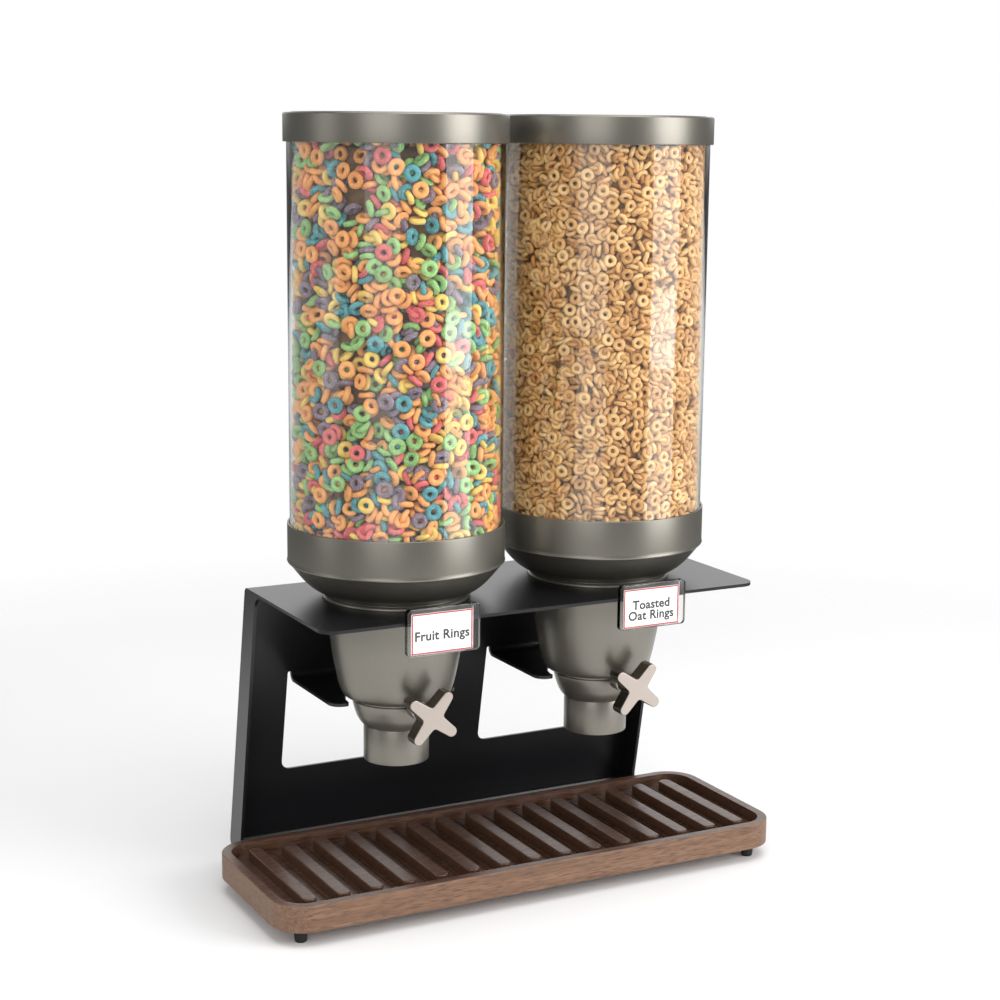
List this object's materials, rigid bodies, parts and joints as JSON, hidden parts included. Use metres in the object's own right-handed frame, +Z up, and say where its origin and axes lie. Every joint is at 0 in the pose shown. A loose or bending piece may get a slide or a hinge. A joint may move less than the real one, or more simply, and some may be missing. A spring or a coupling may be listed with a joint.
{
  "type": "cereal dispenser",
  "caption": "Countertop cereal dispenser with clear round canisters over knob-turned paddle valves, on a folded black steel stand with a ribbed walnut tray.",
  "frame": {"origin": "on the floor, under the middle of the object's bounding box", "axes": "+X along the row of canisters to the right as seen from the knobs, -Y towards the user at the knobs, +Z up"},
  "size_m": [0.5238, 0.247, 0.72],
  "materials": {
    "black_powder_coat": "satin black powder coat",
    "pewter_metallic": "metallic pewter, soft sheen",
    "clear_acrylic": "clear moulded acrylic",
    "satin_nickel": "satin nickel plated, cast",
    "walnut": "oiled walnut",
    "black_rubber": "matt black",
    "grey_silicone": "matt grey silicone",
    "ivory_nylon": "plain moulded nylon",
    "steel": "bright turned steel",
    "white_card": "plain white card"
  },
  "bodies": {
    "stand": {"top_shelf": "black_powder_coat", "back_panel": "black_powder_coat", "base_plate": "black_powder_coat", "left_cheek": "black_powder_coat", "right_cheek": "black_powder_coat", "cradle_left": "black_powder_coat", "cradle_right": "black_powder_coat", "tray": "walnut", "foot_front_left": "black_rubber", "foot_front_right": "black_rubber", "foot_back_left": "black_rubber", "foot_back_right": "black_rubber", "tray_screw_1": "steel", "tray_screw_2": "steel", "tray_screw_3": "steel", "tray_screw_4": "steel", "hopper_cup_left": "pewter_metallic", "canister_seal_left": "grey_silicone", "valve_housing_left": "pewter_metallic", "spout_left": "pewter_metallic", "metering_chamber_left": "ivory_nylon", "front_bushing_left": "ivory_nylon", "rear_bushing_left": "ivory_nylon", "label_holder_left": "clear_acrylic", "hopper_cup_right": "pewter_metallic", "canister_seal_right": "grey_silicone", "valve_housing_right": "pewter_metallic", "spout_right": "pewter_metallic", "metering_chamber_right": "ivory_nylon", "front_bushing_right": "ivory_nylon", "rear_bushing_right": "ivory_nylon", "label_holder_right": "clear_acrylic"},
    "rotor_left": {"axle_left": "steel", "paddle_wheel_left": "grey_silicone", "knob_left": "satin_nickel", "knob_set_screw_left": "steel"},
    "canister_body_left": {"canister_left": "clear_acrylic"},
    "lid_body_left": {"lid_left": "pewter_metallic", "lid_seal_left": "grey_silicone"},
    "card_body_left": {"label_card_left": "white_card"},
    "rotor_right": {"axle_right": "steel", "paddle_wheel_right": "grey_silicone", "knob_right": "satin_nickel", "knob_set_screw_right": "steel"},
    "canister_body_right": {"canister_right": "clear_acrylic"},
    "lid_body_right": {"lid_right": "pewter_metallic", "lid_seal_right": "grey_silicone"},
    "card_body_right": {"label_card_right": "white_card"}
  },
  "joints": [
    {"name": "knob_turn_left", "type": "hinge", "parent": "stand", "child": "rotor_left", "pos_m": [-0.1077, -0.07549, 0.186], "axis": [0, -1, 0], "continuous": true},
    {"name": "canister_lift_left", "type": "slide", "parent": "stand", "child": "canister_body_left", "axis": [0, 0, 1], "range_m": [0, 0.06]},
    {"name": "lid_lift_left", "type": "slide", "parent": "canister_body_left", "child": "lid_body_left", "axis": [0, 0, 1], "range_m": [0, 0.06]},
    {"name": "card_lift_left", "type": "slide", "parent": "stand", "child": "card_body_left", "axis": [0, 0, 1], "range_m": [0, 0.045]},
    {"name": "knob_turn_right", "type": "hinge", "parent": "stand", "child": "rotor_right", "pos_m": [0.1077, -0.07549, 0.186], "axis": [0, -1, 0], "continuous": true},
    {"name": "canister_lift_right", "type": "slide", "parent": "stand", "child": "canister_body_right", "axis": [0, 0, 1], "range_m": [0, 0.06]},
    {"name": "lid_lift_right", "type": "slide", "parent": "canister_body_right", "child": "lid_body_right", "axis": [0, 0, 1], "range_m": [0, 0.06]},
    {"name": "card_lift_right", "type": "slide", "parent": "stand", "child": "card_body_right", "axis": [0, 0, 1], "range_m": [0, 0.045]}
  ]
}
